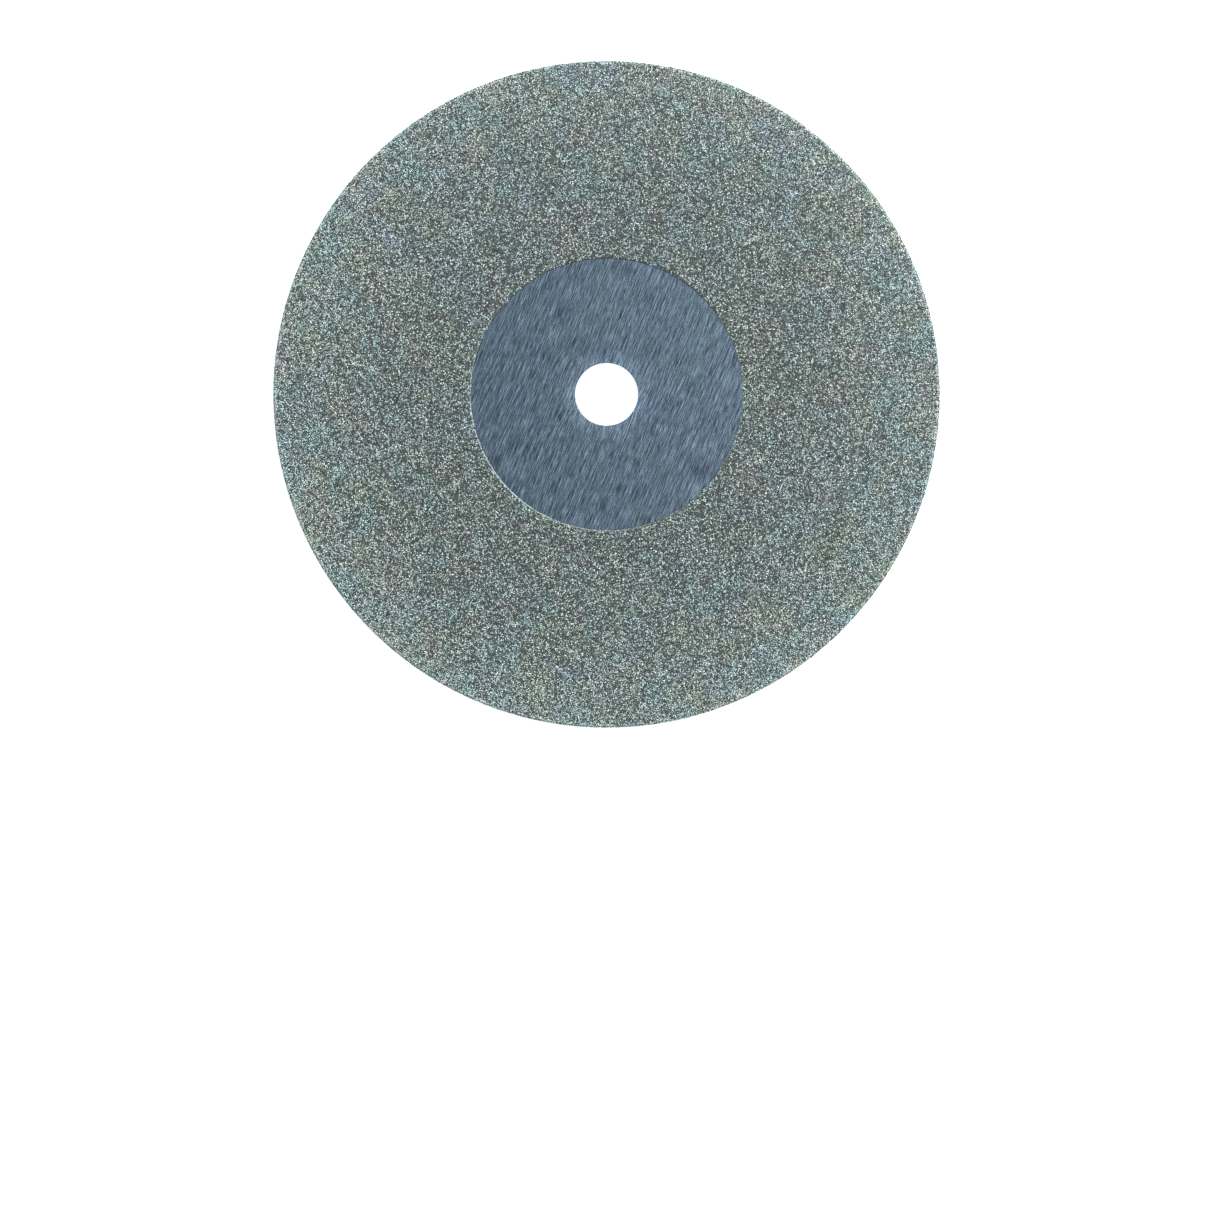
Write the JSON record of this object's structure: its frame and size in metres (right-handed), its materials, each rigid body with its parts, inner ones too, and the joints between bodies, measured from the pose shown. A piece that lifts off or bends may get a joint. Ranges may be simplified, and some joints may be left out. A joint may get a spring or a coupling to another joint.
{
  "type": "diamond grinding wheel",
  "caption": "Flat grinding wheel: a thin steel disc with a plain arbor bore and a bare round hub, its faces and rim coated in diamond grit held by plated nickel.",
  "frame": {"origin": "centre of the back coat's face, on the wheel's axis, where the wheel rests when it lies flat", "axes": "+Z along the wheel's axis, from the back face to the front face; X and Y are any two directions across the wheel"},
  "size_m": [0.1016, 0.1016, 0.0016],
  "materials": {
    "ground_steel": "satin",
    "plated_nickel": "satin",
    "diamond_grit": "matte"
  },
  "bodies": {
    "root": {"steel_blank": "ground_steel", "front_nickel_bond": "plated_nickel", "rim_nickel_bond": "plated_nickel", "back_nickel_bond": "plated_nickel", "front_diamond_grit": "diamond_grit", "rim_diamond_grit": "diamond_grit", "back_diamond_grit": "diamond_grit"}
  },
  "joints": []
}
